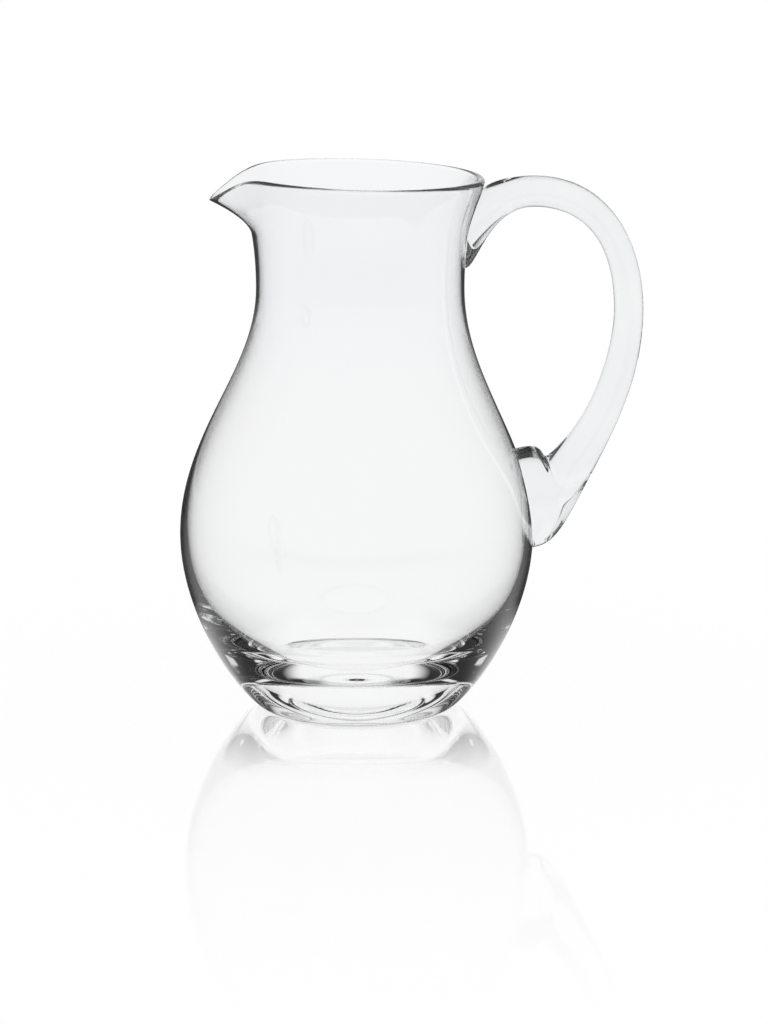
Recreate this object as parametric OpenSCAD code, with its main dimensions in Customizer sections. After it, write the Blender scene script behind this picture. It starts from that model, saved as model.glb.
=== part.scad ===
// A clear glass water jug in two pieces: a blown vessel with a drawn spout, and a handle sealed on to it.
// Millimetres, +Z up. The origin is on the table, on the axis of the vessel.
// The spout points along -X and the handle along +X.

/* [Vessel] */
// Height of the rim above the table
rim_h = 215; // [208:1:225]
// Outer diameter of the rim
rim_d = 98.4; // [92:0.2:106]
// Height of the narrowest place of the neck
neck_h = 170; // [164:1:176]
// Outer diameter of the neck at its narrowest place
neck_d = 82.7; // [76:0.1:88]
// Height of the widest place of the belly
belly_h = 70; // [64:1:76]
// Outer diameter of the belly at its widest place
belly_d = 141.8; // [132:0.2:150]
// Diameter of the foot that stands on the table
foot_d = 76; // [70:0.5:82]

/* [Vessel curves] */
// How far the side runs out from the foot before it lifts
foot_pull = 5.8; // [3:0.1:8]
// How far the side drops straight down from the widest place
belly_low_pull = 36; // [28:0.5:40]
// How far the side rises straight up from the widest place
belly_high_pull = 39.4; // [30:0.2:44]
// How far the neck drops straight down from its narrowest place
shoulder_pull = 36; // [26:0.5:40]
// How far the neck rises straight up from its narrowest place
neck_pull = 22.5; // [14:0.5:26]
// Length of the flare under the rim
flare_len = 13; // [8:0.5:16]
// Slope of the flare under the rim, in degrees from upright
flare_angle = 17; // [8:1:26]

/* [Glass] */
// Thickness of the wall at the widest place of the belly
belly_wall = 2.3; // [1.6:0.1:4]
// Thickness of the wall halfway up the shoulder, where the glass is thinnest
shoulder_wall = 1; // [0.8:0.1:2]
// Thickness of the wall at the narrowest place of the neck
neck_wall = 1.4; // [1:0.1:2.6]
// Thickness of the rounded rim
rim_wall = 3; // [2:0.1:3.8]
// Height of the inside floor above the table
floor_h = 7.6; // [6.5:0.1:12]
// How far the inside floor runs out flat from the axis
floor_pull = 47; // [38:0.5:54]
// How far the inside of the bowl runs down from the widest place before it turns in
bowl_low_pull = 31; // [22:0.5:38]
// Height of the hollow under the foot
punt_h = 0.6; // [0.2:0.1:4]
// Diameter of the hollow under the foot
punt_d = 69; // [50:0.5:69.5]

/* [Neck and spout] */
// Height from which the neck leans towards the handle
lean_from_h = 110; // [105:1:125]
// How far the neck leans towards the handle
neck_lean = 1.6; // [0:0.1:4]
// Slant of the rim, lower at the handle, in degrees
rim_slant = 1.65; // [0:0.05:3]
// Height of the wall under the rim that is drawn out into the spout
spout_h = 23.5; // [16:0.5:30]
// How far the tip of the spout stands out from the rim
spout_reach = 11.2; // [5:0.1:16]
// How far the tip of the spout drops below the rim
spout_drop = 11.4; // [5:0.1:14]
// How sharply the spout curls outward towards its tip
spout_curl = 1.85; // [1.2:0.05:3]
// Spread of the spout round the rim, in degrees
spout_spread = 18.5; // [14:0.5:28]

/* [Handle] */
// Top of the handle below the rim
crest_below_rim = 0.7; // [0:0.1:6]
// Distance of the top of the handle from the neck
crest_out = 29; // [24:0.5:36]
// Thickness of the handle at its top
crest_t = 12.3; // [9:0.1:15]
// Width of the handle at its top
crest_w = 12; // [9:0.1:20]
// Place of the grip below the rim, where the handle stands out farthest
grip_below_rim = 55; // [48:0.5:62]
// Distance of the grip from the belly
grip_out = 43.1; // [36:0.1:52]
// Thickness of the grip
grip_t = 11.6; // [9:0.1:15]
// Width of the grip
grip_w = 11.5; // [9:0.1:20]
// Squareness of the handle's section
section_power = 2; // [2:0.1:4]

/* [Upper seal] */
// Top of the upper seal below the rim
upper_seal_top = 6.5; // [5:0.1:10]
// Bottom of the upper seal below the rim
upper_seal_low = 37.5; // [32:0.5:42]
// Width of the upper seal
upper_seal_w = 17; // [14:0.5:30]
// Climb of the handle's top edge where it leaves the upper seal, in degrees
upper_top_climb = 61; // [40:1:70]
// Length of that climb
upper_top_pull = 5.3; // [3:0.1:8]
// Roll of the glass under the bottom of the upper seal, in degrees
upper_low_roll = 0; // [-20:1:30]
// Length of that roll
upper_low_pull = 4.8; // [3:0.1:8]

/* [Lower seal] */
// Height of the top of the lower seal
lower_seal_top = 104.5; // [100:0.1:105]
// Height of the bottom of the lower seal
lower_seal_low = 64; // [58:0.2:70]
// Width of the lower seal
lower_seal_w = 22; // [18:0.5:40]
// Roll of the glass over the top of the lower seal, in degrees
lower_top_roll = 16; // [5:1:30]
// Length of that roll
lower_top_pull = 16.5; // [12:0.1:18]
// Roll of the glass under the bottom of the lower seal, in degrees
lower_low_roll = 9; // [-5:1:20]
// Length of that roll
lower_low_pull = 9.4; // [5:0.1:12]
// Distance of the root's inner edge from the belly
root_in_out = 8.7; // [7:0.1:11]
// Height of the root's inner edge
root_in_h = 104.4; // [102:0.1:107]
// Distance of the root's outer edge from the belly
root_edge_out = 22.1; // [19:0.1:25]
// Height of the root's outer edge
root_edge_h = 92.1; // [88:0.1:95]
// Width of the root
root_w = 16; // [12:0.5:27]

/* [Handle curves] */
// Run of the top edge into the top of the handle
crest_edge_in = 5.2; // [3:0.1:9]
// Run of the top edge out of the top of the handle
crest_edge_out = 30.2; // [22:0.1:34]
// Run of the lower edge into the top of the handle
crest_under_in = 18.1; // [10:0.1:22]
// Run of the lower edge out of the top of the handle
crest_under_out = 13.5; // [10:0.1:20]
// Run of the outer edge down into the grip
grip_edge_in = 27.2; // [22:0.1:34]
// Run of the outer edge down out of the grip
grip_edge_out = 25; // [18:0.5:32]
// Run of the inner edge down into the grip
grip_under_in = 34.6; // [26:0.1:36]
// Run of the inner edge down out of the grip
grip_under_out = 10.7; // [6:0.1:16]
// Slope of the outer edge at the root, in degrees
root_edge_slope = 63; // [56:1:68]
// Run of the outer edge down into the root
root_edge_in = 26.2; // [18:0.1:32]
// Run of the outer edge down out of the root
root_edge_run = 21.5; // [15:0.5:24]
// Slope of the inner edge at the root, in degrees
root_in_slope = 44; // [36:1:52]
// Run of the inner edge down into the root
root_in_run = 24.2; // [16:0.1:30]
// Run of the inner edge out of the root
root_in_end = 12.2; // [9:0.1:14]

/* [Fit] */
// Space between the handle and the vessel at the two seals
seal_gap = 0.06; // [0.05:0.01:0.2]
// Step by which the leaning neck sits inside the edges of the turned body
neck_step = 0.1; // [0.05:0.01:0.2]

/* [Hidden] */
around = 72;
curve_steps = 12;
lip_steps = 6;
punt_steps = 8;
handle_around = 32;
handle_steps = [12, 16, 16, 14];
cap_steps = 3;
search_tries = 26;
slant_tries = 4;
glass_tint = [0.80, 0.88, 0.89];
handle_tint = [0.72, 0.82, 0.84];

rim_r = rim_d / 2;
neck_r = neck_d / 2;
belly_r = belly_d / 2;
foot_r = foot_d / 2;
punt_r = punt_d / 2;
lip_r = rim_wall / 2;
lip_middle = [rim_r - lip_r, rim_h - lip_r];
flare_run = flare_len * [sin(flare_angle), cos(flare_angle)];
lip_out = lip_middle + lip_r * [cos(flare_angle), -sin(flare_angle)];

lower_outer = [[foot_r, 0], [foot_r + foot_pull, 0], [belly_r, belly_h - belly_low_pull], [belly_r, belly_h]];
upper_outer = [[belly_r, belly_h], [belly_r, belly_h + belly_high_pull],
    [neck_r, neck_h - shoulder_pull], [neck_r, neck_h]];
flare_outer = [[neck_r, neck_h], [neck_r, neck_h + neck_pull], lip_out - flare_run, lip_out];

function bezier(c, t) =
    c[0] * (1 - t) ^ 3 + c[1] * 3 * t * (1 - t) ^ 2 + c[2] * 3 * t ^ 2 * (1 - t) + c[3] * t ^ 3;

function way_of(c, t) =
    let (step = (c[1] - c[0]) * (1 - t) ^ 2 + (c[2] - c[1]) * 2 * t * (1 - t) + (c[3] - c[2]) * t ^ 2)
    step / norm(step);

function run_of(c, from, to, steps) = [for (k = [0 : steps]) bezier(c, from + (to - from) * k / steps)];

function share_at_height(c, z, low = 0, high = 1, tries = search_tries) =
    let (mid = (low + high) / 2)
    tries == 0 ? mid
    : bezier(c, mid)[1] < z ? share_at_height(c, z, mid, high, tries - 1)
    : share_at_height(c, z, low, mid, tries - 1);

function smooth(t) = let (u = min(max(t, 0), 1)) u * u * (3 - 2 * u);

function mix(a, b, t) = a * (1 - t) + b * t;

function reversed(list) = [for (k = [len(list) - 1 : -1 : 0]) list[k]];

function without_first(list) = [for (k = [1 : len(list) - 1]) list[k]];

// The inside of the wall keeps the thickness of the glass behind the outside
function inside_of(c, t, wall) = let (way = way_of(c, t)) bezier(c, t) - wall * [way[1], -way[0]];

function upper_wall(t) =
    shoulder_wall + (t < 0.5 ? belly_wall - shoulder_wall : neck_wall - shoulder_wall) * (2 * t - 1) ^ 2;

function upper_inner(t) = inside_of(upper_outer, t, upper_wall(t));

function flare_inner(t) = inside_of(flare_outer, t, mix(neck_wall, rim_wall, t));

function inner_share_at_height(z, low = 0, high = 1, tries = search_tries) =
    let (mid = (low + high) / 2)
    tries == 0 ? mid
    : upper_inner(mid)[1] < z ? inner_share_at_height(z, mid, high, tries - 1)
    : inner_share_at_height(z, low, mid, tries - 1);

function outer_curve(z) = z < belly_h ? lower_outer : z < neck_h ? upper_outer : flare_outer;

function outer_r(z) = let (c = outer_curve(z)) bezier(c, share_at_height(c, z))[0];

function lean(z) = neck_lean * smooth((z - lean_from_h) / (neck_h - lean_from_h));

function slant(z) = tan(rim_slant) * smooth((z - neck_h) / (rim_h - neck_h));

// Outside of the vessel on the handle's side, at the distance y from the middle plane
function upright_x(y, z) = lean(z) + sqrt(outer_r(z) ^ 2 - y ^ 2);

function upright_z(y, z, guess, tries = slant_tries) =
    tries == 0 ? guess : upright_z(y, z, z + upright_x(y, guess) * slant(guess), tries - 1);

function wall_x(y, z) = upright_x(y, upright_z(y, z, z)) + seal_gap;

// A point of the leaning neck: the profile point p at the angle a, drawn out where the spout is
function neck_point(p, a) =
    let (
        spout = exp(-((a - 180) / spout_spread) ^ 2),
        drawn = min(max((p[1] - rim_h + spout_h) / spout_h, 0), 1),
        r = p[0] + spout_reach * spout * drawn ^ spout_curl,
        x = lean(p[1]) + r * cos(a)
    )
    [x, r * sin(a), p[1] - spout_drop * spout * drawn - x * slant(p[1])];

outer_from = share_at_height(upper_outer, lean_from_h);
inner_from = inner_share_at_height(lean_from_h);
inner_start = upper_inner(inner_from);
inner_step = (neck_step + inner_start[0]) / cos(180 / around) - inner_start[0];
bowl_top = upper_inner(0);
bowl_slope = [4 * (belly_wall - shoulder_wall), 3 * belly_high_pull];
bowl_side = bowl_top - bowl_low_pull * bowl_slope / norm(bowl_slope);
bowl_inner = [[0, floor_h], [floor_pull, floor_h], bowl_side, bowl_top];
upper_inner_run = [for (k = [0 : curve_steps]) upper_inner(mix(inner_from, 1, k / curve_steps))];
lower_inner_run = [for (k = [0 : curve_steps]) upper_inner(inner_from * k / curve_steps)];
flare_inner_run = [for (k = [0 : curve_steps]) flare_inner(k / curve_steps)];
lip_arc = [for (k = [1 : lip_steps - 1])
    let (a = -flare_angle + 180 * k / lip_steps) lip_middle + lip_r * [cos(a), sin(a)]];
neck_foot = [bezier(upper_outer, outer_from) - [neck_step, 0], inner_start + [inner_step, 0]];
neck_profile = concat(
    [neck_foot[0]],
    without_first(run_of(upper_outer, outer_from, 1, curve_steps)),
    without_first(run_of(flare_outer, 0, 1, curve_steps)),
    lip_arc,
    reversed(flare_inner_run),
    without_first(reversed(without_first(upper_inner_run))),
    [neck_foot[1]]
);

body_profile = concat(
    [for (k = [0 : punt_steps]) [punt_r * k / punt_steps, punt_h * (1 - (k / punt_steps) ^ 2)]],
    run_of(lower_outer, 0, 1, 2 * curve_steps),
    without_first(run_of(upper_outer, 0, outer_from, curve_steps)),
    reversed(without_first(lower_inner_run)),
    reversed(run_of(bowl_inner, 0, 1, 2 * curve_steps))
);

// Faces of a closed tube: rings of n points, the last ring joined back to the first
function ring_faces(rings, n, closed) = [
    for (k = [0 : rings - (closed ? 1 : 2)], j = [0 : n - 1])
        let (
            next = (k + 1) % rings * n,
            a = k * n + j,
            b = k * n + (j + 1) % n,
            c = next + (j + 1) % n,
            d = next + j
        )
        each [[a, c, b], [a, d, c]]
];

module leaning_neck() {
    polyhedron(
        points = [for (p = neck_profile, j = [0 : around - 1]) neck_point(p, 360 * j / around)],
        faces = ring_faces(len(neck_profile), around, true),
        convexity = 6
    );
}

module blown_body() {
    color(glass_tint)
        union() {
            rotate_extrude($fn = around)
                polygon(body_profile);
            leaning_neck();
        }
}

// Outlines of the handle in its middle plane: x and z of its outer edge and of its inner edge
function heading(a, length) = length * [cos(a), sin(a)];

upper_top = [wall_x(0, rim_h - upper_seal_top), rim_h - upper_seal_top];
upper_low = [wall_x(0, rim_h - upper_seal_low), rim_h - upper_seal_low];
lower_top = [wall_x(0, lower_seal_top), lower_seal_top];
lower_low = [wall_x(0, lower_seal_low), lower_seal_low];
crest_edge = [neck_r + crest_out, rim_h - crest_below_rim];
crest_under = crest_edge - [0, crest_t];
grip_edge = [belly_r + grip_out, rim_h - grip_below_rim];
grip_under = grip_edge - [grip_t, 0];
root_edge = [belly_r + root_edge_out, root_edge_h];
root_in = [belly_r + root_in_out, root_in_h];

edge_curves = [
    [upper_top, upper_top + heading(upper_top_climb, upper_top_pull), crest_edge - [crest_edge_in, 0], crest_edge],
    [crest_edge, crest_edge + [crest_edge_out, 0], grip_edge + [0, grip_edge_in], grip_edge],
    [grip_edge, grip_edge - [0, grip_edge_out], root_edge + heading(root_edge_slope, root_edge_in), root_edge],
    [root_edge, root_edge - heading(root_edge_slope, root_edge_run),
        lower_low + heading(lower_low_roll, lower_low_pull), lower_low]
];
under_curves = [
    [upper_low, upper_low + heading(upper_low_roll, upper_low_pull),
        crest_under - [crest_under_in, 0], crest_under],
    [crest_under, crest_under + [crest_under_out, 0], grip_under + [0, grip_under_in], grip_under],
    [grip_under, grip_under - [0, grip_under_out], root_in + heading(root_in_slope, root_in_run), root_in],
    [root_in, root_in - heading(root_in_slope, root_in_end),
        lower_top + heading(lower_top_roll, lower_top_pull), lower_top]
];
widths = [upper_seal_w, crest_w, grip_w, root_w, lower_seal_w];
hugs = [1, 0, 0, 0, 1];

function signed_power(v, p) = sign(v) * abs(v) ^ p;

upper_seal = [upper_top, upper_low];
lower_seal = [lower_low, lower_top];
seals = [upper_seal, upper_seal, lower_seal, lower_seal];

// One ring of the handle between an outer and an inner edge point; hug bends it to the wall under a seal
function handle_ring(edges, width, hug, seal, size = 1) = [
    for (j = [0 : handle_around - 1])
        let (
            a = 360 * j / handle_around,
            along = size * signed_power(cos(a), 2 / section_power),
            y = size * width / 2 * signed_power(sin(a), 2 / section_power),
            p = (edges[0] + edges[1]) / 2 + (edges[0] - edges[1]) / 2 * along,
            on_seal = (seal[0] + seal[1]) / 2 + (seal[0] - seal[1]) / 2 * along
        )
        [p[0] + hug * (wall_x(y, on_seal[1]) - on_seal[0]), y, p[1]]
];

upper_cap = [for (k = [1 : cap_steps - 1]) handle_ring(upper_seal, upper_seal_w, 1, upper_seal, k / cap_steps)];
lower_cap = [for (k = [cap_steps - 1 : -1 : 1])
    handle_ring(lower_seal, lower_seal_w, 1, lower_seal, k / cap_steps)];
handle_rings = concat(
    upper_cap,
    [for (c = [0 : len(edge_curves) - 1], k = [c == 0 ? 0 : 1 : handle_steps[c]])
        let (t = k / handle_steps[c])
        handle_ring(
            [bezier(edge_curves[c], t), bezier(under_curves[c], t)],
            mix(widths[c], widths[c + 1], smooth(t)),
            mix(hugs[c], hugs[c + 1], smooth(t)),
            seals[c]
        )],
    lower_cap
);
upper_middle = (upper_top[1] + upper_low[1]) / 2;
lower_middle = (lower_top[1] + lower_low[1]) / 2;
handle_ends = [[wall_x(0, upper_middle), 0, upper_middle], [wall_x(0, lower_middle), 0, lower_middle]];
handle_ring_count = len(handle_rings);
first_end = handle_ring_count * handle_around;
last_ring = first_end - handle_around;

module applied_handle() {
    color(handle_tint)
        polyhedron(
            points = concat([for (ring = handle_rings) each ring], handle_ends),
            faces = concat(
                ring_faces(handle_ring_count, handle_around, false),
                [for (j = [0 : handle_around - 1]) [first_end, j, (j + 1) % handle_around]],
                [for (j = [0 : handle_around - 1])
                    [first_end + 1, last_ring + (j + 1) % handle_around, last_ring + j]]
            ),
            convexity = 6
        );
}

blown_body();
applied_handle();
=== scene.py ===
# %% [markdown]
# A clear glass water jug on a white table. It has two pieces: a blown vessel with a drawn spout, and
# a solid handle that was sealed on to it while both were hot. The CAD model gives the frame, and this
# lesson gives each piece a smooth surface and a glass finish, then lights it. Clear glass has next to
# no colour of its own, so most of its look comes from what it bends and what it mirrors.

# %% Load the frame
import math

import bpy
import numpy as np
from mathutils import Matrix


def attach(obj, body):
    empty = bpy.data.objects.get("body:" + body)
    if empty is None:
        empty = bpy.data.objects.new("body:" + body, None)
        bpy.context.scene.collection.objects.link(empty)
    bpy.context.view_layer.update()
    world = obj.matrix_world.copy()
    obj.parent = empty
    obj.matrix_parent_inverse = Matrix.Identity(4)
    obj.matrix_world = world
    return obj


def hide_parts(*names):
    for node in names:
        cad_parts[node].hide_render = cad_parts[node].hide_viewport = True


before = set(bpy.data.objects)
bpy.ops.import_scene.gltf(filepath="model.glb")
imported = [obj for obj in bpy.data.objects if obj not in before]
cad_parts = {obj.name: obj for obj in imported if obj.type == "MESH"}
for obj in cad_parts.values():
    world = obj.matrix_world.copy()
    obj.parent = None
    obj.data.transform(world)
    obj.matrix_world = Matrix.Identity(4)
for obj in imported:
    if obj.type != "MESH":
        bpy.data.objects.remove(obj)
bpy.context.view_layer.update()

# %% [markdown]
# The camera stands well back with a long lens, as for a catalogue picture, and looks down a little.
# It could be aimed with a constraint, but a plain place and one tilt are easier to read. Light runs
# round and round in the thick base of a jug, so the renderer may follow each ray for many bounces:
# with too few, the base gets black patches.

# %% Set the camera
MM = 0.001
FRAME_HIGH = 1024
FOCUS_PIXELS = 3823.76
SENSOR_HIGH = 36.0
CAMERA_PLACE = (11.02 * MM, -1500 * MM, 411.34 * MM)
CAMERA_TILT = 0.218393
BOUNCES = 64
scene = bpy.context.scene
camera = bpy.data.cameras.new("table_camera")
camera.sensor_fit = "VERTICAL"
camera.sensor_height = SENSOR_HIGH
camera.lens = FOCUS_PIXELS / FRAME_HIGH * SENSOR_HIGH
camera_stand = bpy.data.objects.new("table_camera", camera)
camera_stand.location = CAMERA_PLACE
camera_stand.rotation_euler = (math.pi / 2 - CAMERA_TILT, 0, 0)
scene.collection.objects.link(camera_stand)
scene.camera = camera_stand
scene.view_settings.view_transform = "Standard"
scene.cycles.max_bounces = BOUNCES
scene.cycles.transmission_bounces = BOUNCES
scene.cycles.glossy_bounces = BOUNCES
print("lens", round(camera.lens, 1), "mm")

# %% [markdown]
# All the outlines of blown glass are slow curves, so each one is a cubic curve with two ends and two
# pulls. The same curves give the vessel's outside, its inside and the edges of the handle. They
# could be Blender curve objects, but points from a formula are easier to bend later.

# %% Curves
def curve(points, count):
    """Points along a cubic curve in a plane."""
    a, b, c, d = (np.array(p, float) for p in points)
    t = np.linspace(0, 1, count)[:, None]
    return a * (1 - t) ** 3 + b * 3 * t * (1 - t) ** 2 + c * 3 * t ** 2 * (1 - t) + d * t ** 3


def curve_way(points, count):
    """Unit steps along a cubic curve, at the same places as its points."""
    a, b, c, d = (np.array(p, float) for p in points)
    t = np.linspace(0, 1, count)[:, None]
    way = (b - a) * (1 - t) ** 2 + (c - b) * 2 * t * (1 - t) + (d - c) * t ** 2
    return way / np.linalg.norm(way, axis=1)[:, None]


def smooth(t):
    """A ramp from 0 to 1 that starts and stops gently."""
    t = np.clip(t, 0, 1)
    return t * t * (3 - 2 * t)


def heading(angle, length):
    """A step of a length in a direction given in degrees."""
    return length * np.array([math.cos(math.radians(angle)), math.sin(math.radians(angle))])


print("a step of 10 at 30 degrees", heading(30, 10).round(2))

# %% [markdown]
# The vessel is blown and then opened with a tool while it spins, so it is round about its axis all
# the way up. Its outside runs from the foot, round the belly and the neck, to the flare under the
# lip. A Screw modifier could turn it, but the neck and spout are bent later, so the profile is kept
# as rows of points in millimetres: distance from the axis, and height.

# %% Outside of the vessel
RIM_H, RIM_R, RIM_WALL = 215.0, 49.2, 3.0
NECK_H, NECK_R, NECK_PULL = 170.0, 41.35, 22.5
BELLY_H, BELLY_R = 70.0, 70.9
BELLY_LOW_PULL, BELLY_HIGH_PULL, SHOULDER_PULL = 36.0, 39.4, 36.0
FOOT_R, FOOT_PULL = 38.0, 5.8
FLARE_ANGLE, FLARE_LEN = 17.0, 13.0
LOWER_POINTS, UPPER_POINTS, FLARE_POINTS = 80, 62, 44
lip_r = RIM_WALL / 2
lip_middle = np.array([RIM_R - lip_r, RIM_H - lip_r])
lip_side = lip_middle + heading(-FLARE_ANGLE, lip_r)
flare_run = heading(90 - FLARE_ANGLE, FLARE_LEN)
lower_outer = [(FOOT_R, 0), (FOOT_R + FOOT_PULL, 0),
               (BELLY_R, BELLY_H - BELLY_LOW_PULL), (BELLY_R, BELLY_H)]
upper_outer = [(BELLY_R, BELLY_H), (BELLY_R, BELLY_H + BELLY_HIGH_PULL),
               (NECK_R, NECK_H - SHOULDER_PULL), (NECK_R, NECK_H)]
flare_outer = [(NECK_R, NECK_H), (NECK_R, NECK_H + NECK_PULL), lip_side - flare_run, lip_side]
outside = np.vstack([curve(lower_outer, LOWER_POINTS), curve(upper_outer, UPPER_POINTS)[1:],
                     curve(flare_outer, FLARE_POINTS)[1:]])
print("outside rows", len(outside))

# %% [markdown]
# The wall of blown glass is thinnest in the shoulder, where the bubble stretched most, and the glass
# gathers in the base. A Solidify modifier would give one thickness everywhere. Here the inside
# follows the outside at a thickness that changes on the way up, and a curve of its own makes the
# round floor over the thick base.

# %% Inside of the vessel
NECK_WALL, SHOULDER_WALL, BELLY_WALL = 1.4, 1.0, 2.3
FLOOR_H, FLOOR_PULL, BOWL_LOW_PULL = 7.6, 47.0, 31.0


def inside_of(points, walls):
    """The inside of an outer curve, at a wall's thickness from each of its points."""
    way = curve_way(points, len(walls))
    return curve(points, len(walls)) - walls[:, None] * np.c_[way[:, 1], -way[:, 0]]


climb = np.linspace(0, 1, UPPER_POINTS)
extra_wall = np.where(climb < 0.5, BELLY_WALL - SHOULDER_WALL, NECK_WALL - SHOULDER_WALL)
upper_inner = inside_of(upper_outer, SHOULDER_WALL + extra_wall * (2 * climb - 1) ** 2)
flare_inner = inside_of(flare_outer, np.linspace(NECK_WALL, RIM_WALL, FLARE_POINTS))
bowl_top = upper_inner[0]
bowl_way = np.array([4 * (BELLY_WALL - SHOULDER_WALL), 3 * BELLY_HIGH_PULL])
bowl_way /= np.linalg.norm(bowl_way)
bowl_inner = [(0, FLOOR_H), (FLOOR_PULL, FLOOR_H), bowl_top - BOWL_LOW_PULL * bowl_way, bowl_top]
inside = np.vstack([flare_inner[::-1], upper_inner[::-1][1:],
                    curve(bowl_inner, LOWER_POINTS)[::-1][1:]])
print("inside rows", len(inside))

# %% [markdown]
# Two small forms close the profile. The lip is rounded by the flame, so it is a half circle between
# the outside and the inside. Under the foot is a shallow hollow, which keeps the jug steady on a
# ring. Both could be bevels, but in the profile they join the other curves without a seam.

# %% Hollow under the foot, and the lip
PUNT_R, PUNT_H, PUNT_POINTS = 34.5, 0.6, 30
LIP_POINTS = 15
punt_share = np.linspace(0, 1, PUNT_POINTS)
punt = np.c_[PUNT_R * punt_share, PUNT_H * (1 - punt_share ** 2)]
lip_turn = np.radians(np.linspace(-FLARE_ANGLE, 180 - FLARE_ANGLE, LIP_POINTS)[1:-1])
lip = lip_middle + lip_r * np.c_[np.cos(lip_turn), np.sin(lip_turn)]
profile = np.vstack([punt, outside, lip, inside])
print("profile rows", len(profile))

# %% [markdown]
# Hand work leaves small things that a lathe would not: the neck leans a little to the handle, the
# rim is not quite level, and the spout is pulled out and down from the soft rim with a stick. A
# Lattice could bend the finished mesh. Moving the turned points by a formula keeps the wall's
# thickness round the spout, and the same formula later tells the handle where the wall is.

# %% Shape the neck and the spout
LEAN_FROM, NECK_LEAN = 110.0, 1.6
RIM_SLANT = math.tan(math.radians(1.65))
SPOUT_H, SPOUT_REACH, SPOUT_DROP = 23.5, 11.2, 11.4
SPOUT_CURL, SPOUT_SPREAD = 1.85, math.radians(18.5)


def lean(z):
    """How far the vessel leans to the handle at a height."""
    return NECK_LEAN * smooth((z - LEAN_FROM) / (NECK_H - LEAN_FROM))


def slant(z):
    """Slope of a level ring of the neck at a height."""
    return RIM_SLANT * smooth((z - NECK_H) / (RIM_H - NECK_H))


def vessel_point(r, z, turn):
    """A turned point after the neck has leaned and the spout has been drawn."""
    spout = np.exp(-((turn - math.pi) / SPOUT_SPREAD) ** 2)
    drawn = np.clip((z - RIM_H + SPOUT_H) / SPOUT_H, 0, 1)
    r = r + SPOUT_REACH * spout * drawn ** SPOUT_CURL
    x = lean(z) + r * np.cos(turn)
    return np.stack([x, r * np.sin(turn), z - SPOUT_DROP * spout * drawn - x * slant(z)], -1)


print("tip of the spout", vessel_point(RIM_R, RIM_H, math.pi).round(1))

# %% [markdown]
# The vessel's mesh is made of rings, one for each row of the profile, with a point at the middle of
# the hollow and one at the middle of the floor. So it is one closed skin, and every face points out
# of the glass. Glass needs both: a gap or a face turned round would bend the light the wrong way.

# %% Make the vessel
AROUND = 240


def ring_faces(rings, around):
    """Four-sided faces between rings of points."""
    k, j = np.meshgrid(np.arange(rings - 1), np.arange(around), indexing="ij")
    a, b = k * around + j, k * around + (j + 1) % around
    return np.stack([a, b, b + around, a + around], -1).reshape(-1, 4).tolist()


def glass_piece(name, points, faces):
    """A smooth mesh object made of points in millimetres."""
    mesh = bpy.data.meshes.new(name)
    mesh.from_pydata((np.asarray(points) * MM).tolist(), [], faces)
    mesh.validate()
    mesh.polygons.foreach_set("use_smooth", [True] * len(mesh.polygons))
    piece = bpy.data.objects.new(name, mesh)
    scene.collection.objects.link(piece)
    return piece


turn = np.linspace(0, 2 * math.pi, AROUND, endpoint=False)
rows = profile[1:-1]
vessel_points = vessel_point(rows[:, :1], rows[:, 1:], turn[None, :]).reshape(-1, 3)
under_middle, floor_middle = len(vessel_points), len(vessel_points) + 1
vessel_points = np.vstack([vessel_points, [[0, 0, PUNT_H], [0, 0, FLOOR_H]]])
last = (len(rows) - 1) * AROUND
vessel_faces = ring_faces(len(rows), AROUND)
vessel_faces += [[under_middle, (j + 1) % AROUND, j] for j in range(AROUND)]
vessel_faces += [[floor_middle, last + j, last + (j + 1) % AROUND] for j in range(AROUND)]
vessel = glass_piece("vessel", vessel_points, vessel_faces)
print("vessel faces", len(vessel.data.polygons))

# %% [markdown]
# The handle is a thick rod of hot glass. Its upper end is stuck to the neck, then it is bent over and
# pressed on to the belly, where it spreads into a pad. To sit on the glass, its two ends need the
# place of the vessel's outside. A Shrinkwrap modifier could find it. The profile already knows it,
# and a hair's breadth is left between the pieces so that their faces never cross.

# %% Outside of the vessel where the handle sits
SEAL_GAP = 0.03
SLANT_TRIES = 5


def upright_x(y, z):
    """Outside of the vessel on the handle's side, before the rim is slanted."""
    r = np.interp(z, outside[:, 1], outside[:, 0])
    return lean(z) + np.sqrt(np.maximum(r ** 2 - y ** 2, 0))


def wall_x(y, z):
    """Outside of the vessel on the handle's side, with the slant of the rim."""
    level = np.array(z, float)
    for _ in range(SLANT_TRIES):
        level = z + upright_x(y, level) * slant(level)
    return upright_x(y, level) + SEAL_GAP


def on_wall(z):
    """A point on the wall in the middle plane of the handle."""
    return np.array([float(wall_x(0.0, z)), z])


print("neck under the handle at", on_wall(NECK_H).round(2))

# %% [markdown]
# From the side the handle shows two edges, an outer and an inner one. Each edge is four curves in a
# row: from the neck to the crest, to the grip, to the root, and into the pad on the belly. One bent
# path with a bevel would give an even rod. Two edges let the rod swell and thin as the real one does.

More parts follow.
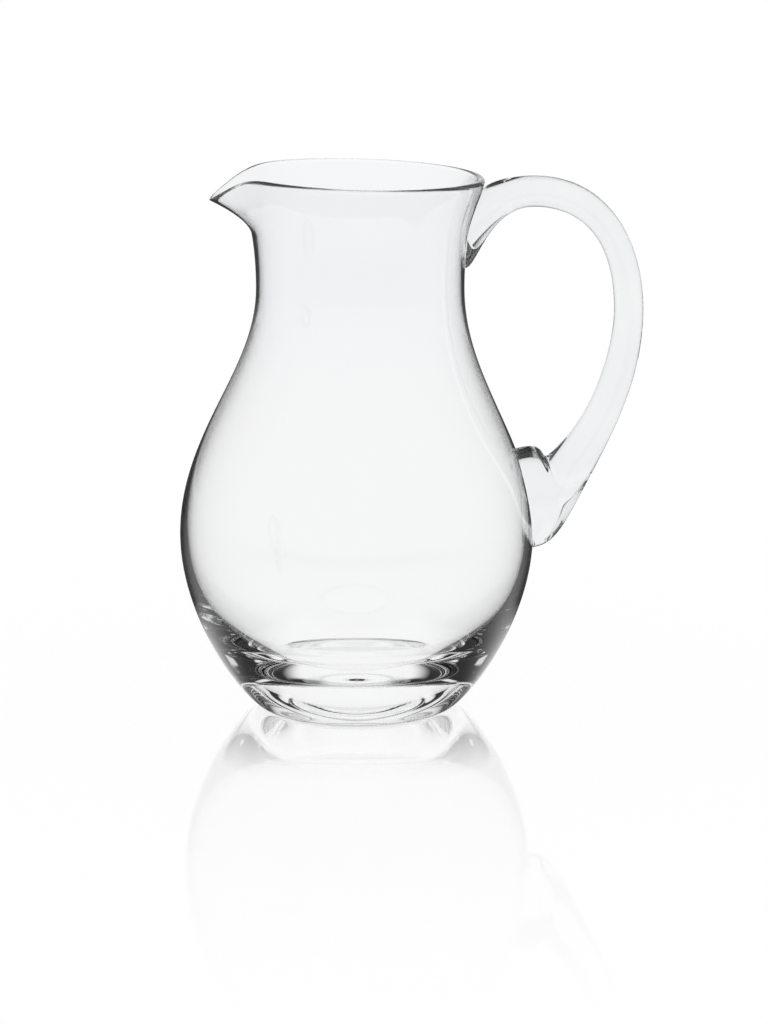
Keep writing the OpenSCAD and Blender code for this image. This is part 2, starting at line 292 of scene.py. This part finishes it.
# %% Edges of the handle
UPPER_SEAL = (208.5, 177.5, 17.0)
LOWER_SEAL = (104.5, 64.0, 22.0)
TOP_CLIMB, UNDER_ROLL = heading(61, 5.3), heading(0, 4.8)
CREST_EDGE_PULLS, CREST_UNDER_PULLS = (5.2, 30.2), (18.1, 13.5)
GRIP_EDGE_PULLS, GRIP_UNDER_PULLS = (27.2, 25.0), (34.6, 10.7)
ROOT_EDGE_PULLS = (heading(63, 26.2), heading(63, 21.5))
ROOT_IN_PULLS = (heading(44, 24.2), heading(44, 12.2))
PAD_LOW_ROLL, PAD_TOP_ROLL = heading(9, 9.4), heading(16, 16.5)
crest_edge, crest_under = np.array([70.35, 214.3]), np.array([70.35, 202.0])
grip_edge, grip_under = np.array([114.0, 160.0]), np.array([102.4, 160.0])
root_edge, root_in = np.array([93.0, 92.1]), np.array([79.6, 104.4])
out, up = np.array([1.0, 0.0]), np.array([0.0, 1.0])
upper_top, upper_low = on_wall(UPPER_SEAL[0]), on_wall(UPPER_SEAL[1])
lower_top, lower_low = on_wall(LOWER_SEAL[0]), on_wall(LOWER_SEAL[1])
edge_curves = [
    [upper_top, upper_top + TOP_CLIMB, crest_edge - CREST_EDGE_PULLS[0] * out, crest_edge],
    [crest_edge, crest_edge + CREST_EDGE_PULLS[1] * out, grip_edge + GRIP_EDGE_PULLS[0] * up, grip_edge],
    [grip_edge, grip_edge - GRIP_EDGE_PULLS[1] * up, root_edge + ROOT_EDGE_PULLS[0], root_edge],
    [root_edge, root_edge - ROOT_EDGE_PULLS[1], lower_low + PAD_LOW_ROLL, lower_low],
]
under_curves = [
    [upper_low, upper_low + UNDER_ROLL, crest_under - CREST_UNDER_PULLS[0] * out, crest_under],
    [crest_under, crest_under + CREST_UNDER_PULLS[1] * out,
     grip_under + GRIP_UNDER_PULLS[0] * up, grip_under],
    [grip_under, grip_under - GRIP_UNDER_PULLS[1] * up, root_in + ROOT_IN_PULLS[0], root_in],
    [root_in, root_in - ROOT_IN_PULLS[1], lower_top + PAD_TOP_ROLL, lower_top],
]
print("upper seal", upper_top.round(1), upper_low.round(1))

# %% [markdown]
# Each ring of the handle is an ellipse between the two edges, with a width of its own. Near a seal
# the ring is bent to the round wall, and smaller rings fill the end so that it is closed. The rings
# could be lofted by an add-on, but rings of equal count join up with the faces made before.

# %% Rings of the handle
STEPS = (50, 60, 60, 60)
WIDTHS = (UPPER_SEAL[2], 12.0, 11.5, 16.0, LOWER_SEAL[2])
HUGS = (1.0, 0.0, 0.0, 0.0, 1.0)
UPPER_ENDS, LOWER_ENDS = (upper_top, upper_low), (lower_low, lower_top)
SEALS = (UPPER_ENDS, UPPER_ENDS, LOWER_ENDS, LOWER_ENDS)
HANDLE_AROUND = 128
CAP_RINGS = 16
side = np.linspace(0, -2 * math.pi, HANDLE_AROUND, endpoint=False)


def handle_ring(edge, under, width, hug, seal, size=1.0):
    """One ring of the handle between its two edges, bent by its hug to the wall under a seal."""
    along = size * np.cos(side)[:, None]
    y = size * width / 2 * np.sin(side)
    p = (edge + under) / 2 + along * (edge - under) / 2
    on_seal = (seal[0] + seal[1]) / 2 + along * (seal[0] - seal[1]) / 2
    x = p[:, 0] + hug * (wall_x(y, on_seal[:, 1]) - on_seal[:, 0])
    return np.c_[x, y, p[:, 1]]


cap_sizes = np.linspace(0, 1, CAP_RINGS + 1)[1:-1]
handle_rings = [handle_ring(*UPPER_ENDS, WIDTHS[0], 1, UPPER_ENDS, s) for s in cap_sizes]
for part, steps in enumerate(STEPS):
    edge, under = curve(edge_curves[part], steps + 1), curve(under_curves[part], steps + 1)
    for k in range(0 if part == 0 else 1, steps + 1):
        done = float(smooth(k / steps))
        width = WIDTHS[part] * (1 - done) + WIDTHS[part + 1] * done
        hug = HUGS[part] * (1 - done) + HUGS[part + 1] * done
        handle_rings.append(handle_ring(edge[k], under[k], width, hug, SEALS[part]))
handle_rings += [handle_ring(*LOWER_ENDS, WIDTHS[-1], 1, LOWER_ENDS, s) for s in cap_sizes[::-1]]
print("handle rings", len(handle_rings))

# %% [markdown]
# The rings become one closed skin, like the vessel's, with a point in the middle of each end.

# %% Make the handle
handle_points = np.vstack(handle_rings)
ends = [on_wall((upper_top[1] + upper_low[1]) / 2), on_wall((lower_top[1] + lower_low[1]) / 2)]
first_end = len(handle_points)
last = first_end - HANDLE_AROUND
handle_points = np.vstack([handle_points] + [[[e[0], 0, e[1]]] for e in ends])
handle_faces = ring_faces(len(handle_rings), HANDLE_AROUND)
handle_faces += [[first_end, (j + 1) % HANDLE_AROUND, j] for j in range(HANDLE_AROUND)]
handle_faces += [[first_end + 1, last + j, last + (j + 1) % HANDLE_AROUND]
                 for j in range(HANDLE_AROUND)]
handle = glass_piece("handle", handle_points, handle_faces)
print("handle faces", len(handle.data.polygons))

# %% [markdown]
# Shader sums are easier to read as Python than as a list of nodes. This small class wraps one socket
# of a node tree: plus, minus and times add Math nodes, and one method adds any other node.

# %% Shader helper
class Wire:
    """A socket of a node tree that can be used in sums."""

    def __init__(self, tree, socket=None):
        self.tree = tree
        self.socket = socket

    def node(self, kind, settings=None, sockets=None, out=0):
        """Add a node: its settings first, then the values or links of its sockets."""
        made = self.tree.nodes.new(kind)
        for key, value in (settings or {}).items():
            setattr(made, key, value)
        for key, value in (sockets or {}).items():
            if isinstance(value, Wire):
                self.tree.links.new(value.socket, made.inputs[key])
            else:
                made.inputs[key].default_value = value
        return Wire(self.tree, made.outputs[out])

    def maths(self, operation, *values):
        return self.node("ShaderNodeMath", {"operation": operation}, dict(enumerate(values)))

    def __add__(self, other):
        return self.maths("ADD", self, other)

    def __sub__(self, other):
        return self.maths("SUBTRACT", self, other)

    def __rsub__(self, other):
        return self.maths("SUBTRACT", other, self)

    def __mul__(self, other):
        return self.maths("MULTIPLY", self, other)

    __radd__ = __add__
    __rmul__ = __mul__

    def size(self):
        return self.maths("ABSOLUTE", self)

    def at_least(self, limit):
        return self.maths("MAXIMUM", self, limit)

    def below(self, limit):
        return self.maths("LESS_THAN", self, limit)

    def above(self, limit):
        return self.maths("GREATER_THAN", self, limit)

    def ramp(self, low, high):
        """A smooth step from 0 at low to 1 at high."""
        return self.node("ShaderNodeMapRange", {"interpolation_type": "SMOOTHSTEP"},
                         {"Value": self, "From Min": low, "From Max": high})

    def axes(self):
        """The three parts of a place or of a direction."""
        return [self.node("ShaderNodeSeparateXYZ", None, {0: self}, k) for k in range(3)]


def new_material(name):
    """An empty material and a wire to its node tree."""
    material = bpy.data.materials.new(name)
    material.use_nodes = True
    material.node_tree.nodes.clear()
    return material, Wire(material.node_tree)


def surface(tree, shader, out="ShaderNodeOutputMaterial"):
    """Join a shader to the output of its tree."""
    made = tree.tree.nodes.new(out)
    tree.tree.links.new(shader.socket, made.inputs["Surface"])


OBJECT_PLACE = "Object"
print("wire has", len([name for name in dir(Wire) if not name.startswith("_")]), "plain methods")

# %% [markdown]
# Clear glass is not quite colourless, and its skin is not quite flat. The neck looks a touch cooler
# than the belly, the thick rod of the handle takes away more light than the thin wall, and the tool
# leaves slow waves a few hundredths of a millimetre deep. A Glass shader would do for one tint. The
# Principled shader with full transmission takes a tint that changes over the surface, and a Bump
# node bends the light for the waves.

# %% Glass
GLASS_IOR = 1.53
BELLY_TINT, NECK_TINT = (0.993, 0.995, 0.996, 1), (0.975, 0.981, 0.991, 1)
HANDLE_TINT, HANDLE_SHADE = (0.95, 0.957, 0.962, 1), (0.90, 0.915, 0.925, 1)
NECK_TINT_RISE = (110 * MM, 185 * MM)
WAVE_SHARE = (0.3, 0.7)
WAVE_SCALE, WAVE_DEPTH = 28.0, 0.03 * MM
WAVE_DETAIL, WAVE_ROUGHNESS = 1.0, 0.4


def glass_shader(tree, tints, by_height):
    """Clear glass between two tints, which change with the height or with the waves."""
    place = tree.node("ShaderNodeTexCoord", out=OBJECT_PLACE)
    waves = tree.node("ShaderNodeTexNoise", None, {
        "Vector": place, "Scale": WAVE_SCALE, "Detail": WAVE_DETAIL, "Roughness": WAVE_ROUGHNESS})
    normal = tree.node("ShaderNodeBump", None, {
        "Strength": 1.0, "Distance": WAVE_DEPTH, "Height": waves})
    share = place.axes()[2].ramp(*NECK_TINT_RISE) if by_height else waves.ramp(*WAVE_SHARE)
    tint = tree.node("ShaderNodeMix", {"data_type": "RGBA"}, {0: share, 6: tints[0], 7: tints[1]}, 2)
    return tree.node("ShaderNodeBsdfPrincipled", None, {
        "Base Color": tint, "Roughness": 0.0, "IOR": GLASS_IOR,
        "Transmission Weight": 1.0, "Normal": normal})


clear_glass, tree = new_material("clear_glass")
surface(tree, glass_shader(tree, (BELLY_TINT, NECK_TINT), True))
handle_glass, tree = new_material("handle_glass")
surface(tree, glass_shader(tree, (HANDLE_TINT, HANDLE_SHADE), False))
print("materials", clear_glass.name, handle_glass.name)

# %% [markdown]
# At the two seals the handle and the vessel melted into one another, so there is no surface left
# between them and light goes straight on. The pieces could be joined, but the handle stays a piece of
# its own. So both faces of each seal are made transparent: the ends of the handle as they are, and
# the wall through an oval mask of the seal's height and width.

# %% Melted seals
sealed_glass, tree = new_material("sealed_glass")
place_x, place_y, place_z = tree.node("ShaderNodeTexCoord", out=OBJECT_PLACE).axes()


def seal_mask(top, low, width):
    """1 inside the oval of a seal."""
    tall = (place_z - (top + low) / 2 * MM) * (2 / ((top - low) * MM))
    wide = place_y * (2 / (width * MM))
    return (tall * tall + wide * wide).below(1.0)


mask = (seal_mask(*UPPER_SEAL) + seal_mask(*LOWER_SEAL)) * place_x.above(0.0)
surface(tree, tree.node("ShaderNodeMixShader", None, {
    0: mask, 1: glass_shader(tree, (BELLY_TINT, NECK_TINT), True),
    2: tree.node("ShaderNodeBsdfTransparent")}))
melted_face, tree = new_material("melted_face")
surface(tree, tree.node("ShaderNodeBsdfTransparent"))
print("materials", sealed_glass.name, melted_face.name)

# %% [markdown]
# Only the outside of the wall near the handle needs the mask, so the vessel has two materials and
# each face picks one. On the handle, the rings that close its ends are the melted faces.

# %% Give each face its glass
NEAR_SIDE, NEAR_LOW = 20.0, 60.0


def set_glass(piece, materials, picks):
    """Give a piece its materials, and each face the number of one of them."""
    for material in materials:
        piece.data.materials.append(material)
    piece.data.polygons.foreach_set("material_index", picks)


ring_face_count = (len(rows) - 1) * AROUND
row_of = np.repeat(np.arange(len(rows) - 1), AROUND)
middle = np.zeros(len(vessel.data.polygons) * 3)
vessel.data.polygons.foreach_get("center", middle)
face_x, face_y, face_z = middle.reshape(-1, 3)[:ring_face_count].T / MM
on_outside = (row_of >= len(punt)) & (row_of < len(punt) + len(outside) - 2)
near_handle = (face_x > 0) & (abs(face_y) < NEAR_SIDE) & (face_z > NEAR_LOW)
vessel_picks = np.zeros(len(vessel.data.polygons), int)
vessel_picks[:ring_face_count] = on_outside & near_handle
set_glass(vessel, (clear_glass, sealed_glass), vessel_picks)

cap_faces = (CAP_RINGS - 1) * HANDLE_AROUND
handle_picks = np.zeros(len(handle.data.polygons), int)
handle_picks[:cap_faces] = 1
handle_picks[(len(handle_rings) - 1) * HANDLE_AROUND - cap_faces:] = 1
set_glass(handle, (handle_glass, melted_face), handle_picks)
print("sealed faces", int(vessel_picks.sum()), "melted faces", int(handle_picks.sum()))

# %% [markdown]
# Both pieces stand still on the table, so they ride on the root. Each one takes the place of its CAD
# node, which is hidden.

# %% Tie the pieces to the frame
for piece, node, slot in ((vessel, "blown_body", "vessel_glass"),
                          (handle, "applied_handle", "handle_glass")):
    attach(piece, "root")
    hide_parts(node)
    print(piece.name, "stands for", node)

# %% [markdown]
# Glass on white is lit from behind: straight through the glass one sees the white studio, and the
# dark lines that draw its shape are mirror images of dark screens. Real screens would stand in the
# picture when the camera goes round the jug, so the studio is painted by what a ray has done. A
# straight ray meets white. A ray that the outside of the glass has mirrored meets the outer tone. A
# ray that was mirrored inside the glass meets the inner tone, which is nearly black. A ray that came
# back through several walls meets a pale grey.

# %% Grey tones of the studio
WHITE = (1, 1, 1, 1)
BEHIND, SIDE, SKY_FRONT, TABLE_FRONT = 0.06, 0.70, 0.66, 0.25
DARK, SHELL = 0.03, 0.86
BEHIND_EDGE, FRONT_EDGE = (22, 58), (80, 150)
ONCE, TWICE = 0.5, 1.5
FEW_BOUNCES, MANY_WALLS = 2.5, 2.5


def bearing(x, y):
    """Turn away from straight behind the jug, in degrees, the same on both sides."""
    return x.maths("ARCTAN2", x, y).size() * math.degrees(1)


def outer_tone(turned, front):
    """What the outside of the glass mirrors: dark far behind, pale at the sides, grey in front."""
    sides = (SIDE - BEHIND) * turned.ramp(*BEHIND_EDGE)
    return BEHIND + sides + (front - SIDE) * turned.ramp(*FRONT_EDGE)


def studio_light(tree, outer, inner):
    """White for straight rays, and the tones for rays that glass has mirrored."""
    bounces = tree.node("ShaderNodeLightPath", out="Glossy Depth")
    walls = tree.node("ShaderNodeLightPath", out="Transmission Depth")
    through = walls.above(ONCE)
    tone = through * inner + (1 - through) * outer
    tone = tone + walls.above(MANY_WALLS) * bounces.below(FEW_BOUNCES) * (SHELL - tone)
    return 1 - bounces.above(ONCE) * (1 - tone)


print("tones", BEHIND, SIDE, SKY_FRONT, TABLE_FRONT, DARK, SHELL)

# %% [markdown]
# The world is the studio above the table. For light mirrored inside the glass it has a bright window
# low behind the jug, which fills the middle of the base, and a bright ceiling. A narrow slit and a
# small glint at the sides draw the white streaks in the dark corners of the base. Angles are degrees
# away from straight behind, and heights are the upward part of a ray's direction.

# %% World
WINDOW_EDGE, WINDOW_SILL = (22, 38), (0.1, 0.2)
CEILING = (0.75, 0.95)
BACKDROP_EDGE, BACKDROP_TOP = (12, 40), (0.30, 0.55)
SLIT_FROM, SLIT_TO = (52, 55), (58, 61)
GLINT_FROM, GLINT_TO, GLINT_LOW, GLINT_TOP = (80, 83), (88, 91), (0.08, 0.12), (0.22, 0.26)
STREAK = 0.9
world = bpy.data.worlds.new("studio")
scene.world = world
world.use_nodes = True
world.node_tree.nodes.clear()
tree = Wire(world.node_tree)
aim_x, aim_y, aim_z = tree.node("ShaderNodeTexCoord", out="Generated").axes()
turned = bearing(aim_x, aim_y)
backdrop = (1 - turned.ramp(*BACKDROP_EDGE)) * (1 - aim_z.ramp(*BACKDROP_TOP))
outer = outer_tone(turned, SKY_FRONT).at_least(backdrop)
window = (1 - turned.ramp(*WINDOW_EDGE)) * aim_z.ramp(*WINDOW_SILL)
slit = turned.ramp(*SLIT_FROM) * (1 - turned.ramp(*SLIT_TO))
glint = turned.ramp(*GLINT_FROM) * (1 - turned.ramp(*GLINT_TO))
glint = glint * aim_z.ramp(*GLINT_LOW) * (1 - aim_z.ramp(*GLINT_TOP))
again = tree.node("ShaderNodeLightPath", out="Glossy Depth").above(TWICE)
inner = window.at_least((slit + glint) * STREAK * again + DARK)
inner = inner + aim_z.ramp(*CEILING) * (1 - inner)
surface(tree, tree.node("ShaderNodeBackground", None, {
    "Color": studio_light(tree, outer, inner), "Strength": 1.0}), "ShaderNodeOutputWorld")
print("world nodes", len(world.node_tree.nodes))

# %% [markdown]
# The table is a smooth white sheet. For rays from the glass it glows with painted light and shade:
# a painted band of light under the foot, painted ground close by that is pale behind the jug and
# dark in front of it as a painted shadow, and darker ground in front and behind. Distances are
# metres from the axis of the jug.

# %% Painted light and shade of the table
FLOOR_HALF, FLOOR_DROP = 3.0, 0.3 * MM
STRIP_SIDE, STRIP_END = (0.045, 0.07), (0.07, 0.11)
FRONT_NEAR, FADE_FAR = (0.25, 0.6), (0.9, 2.6)
VESSEL_EDGE = 0.065
CLOSE_BY, CLOSE_SIDE = (0.09, 0.16), (70, 115)
CLOSE_PAINTED_SHADE, CLOSE_PAINTED_LIGHT = 0.04, 0.90
corners = ((-1, -1), (1, -1), (1, 1), (-1, 1))
floor_mesh = bpy.data.meshes.new("table")
floor_mesh.from_pydata([(FLOOR_HALF * x, FLOOR_HALF * y, -FLOOR_DROP) for x, y in corners],
                       [], [(0, 1, 2, 3)])
floor = bpy.data.objects.new("table", floor_mesh)
scene.collection.objects.link(floor)
white_table, tree = new_material("white_table")
place = tree.node("ShaderNodeTexCoord", out=OBJECT_PLACE)
place_x, place_y, _ = place.axes()
far = tree.node("ShaderNodeVectorMath", {"operation": "LENGTH"}, {0: place}, "Value")
front = SKY_FRONT + (TABLE_FRONT - SKY_FRONT) * far.ramp(*FRONT_NEAR)
front = front + (SKY_FRONT - front) * far.ramp(*FADE_FAR)
beside = (place_x.size() - VESSEL_EDGE).at_least(0.0)
outer = outer_tone(bearing(beside, place_y), front)
outer = outer + far.ramp(*FADE_FAR) * (SIDE - outer)
# Painted shadow of the jug on the table close to its foot: dark in front, pale behind.
painted_shade_close_by = CLOSE_PAINTED_SHADE + CLOSE_PAINTED_LIGHT * (1 - bearing(place_x, place_y).ramp(*CLOSE_SIDE))
outer = outer + (1 - far.ramp(*CLOSE_BY)) * (painted_shade_close_by - outer)
# A painted band of light on the table under the foot.
painted_light_under_foot = (1 - place_x.size().ramp(*STRIP_SIDE)) * (1 - place_y.size().ramp(*STRIP_END))
table_light = studio_light(tree, outer, painted_light_under_foot.at_least(DARK))
print("table tones use", len(white_table.node_tree.nodes), "nodes")

# %% [markdown]
# Seen by the camera, the table is white with a soft shadow under the jug, and it mirrors the jug
# near the foot. A mirror under the whole jug would be too strong, so the shine fades with distance,
# as it does on a sheet of satin acrylic.

# %% Finish of the table
SHADOW_SHARE = 0.1
SHINE_ROUGHNESS = 0.03
NEAR_SHINE, NEAR_FADE = 0.52, (0.04, 0.12)
FAR_SHINE, FAR_FADE = 0.12, (0.1, 0.4)
seen = tree.node("ShaderNodeLightPath", out="Is Camera Ray")
lit = tree.node("ShaderNodeEmission", None, {"Color": table_light, "Strength": 1.0})
plain = tree.node("ShaderNodeEmission", None, {"Color": WHITE, "Strength": 1.0})
matt = tree.node("ShaderNodeBsdfDiffuse", None, {"Color": WHITE})
gloss = tree.node("ShaderNodeBsdfGlossy", None, {"Color": WHITE, "Roughness": SHINE_ROUGHNESS})
sheet = tree.node("ShaderNodeMixShader", None, {0: SHADOW_SHARE, 1: plain, 2: matt})
shine = (1 - far.ramp(*NEAR_FADE)) * NEAR_SHINE + (1 - far.ramp(*FAR_FADE)) * FAR_SHINE
sheet = tree.node("ShaderNodeMixShader", None, {0: shine, 1: sheet, 2: gloss})
surface(tree, tree.node("ShaderNodeMixShader", None, {0: seen, 1: lit, 2: sheet}))
floor_mesh.materials.append(white_table)
print("table", floor.name, "is staged")

# %% [markdown]
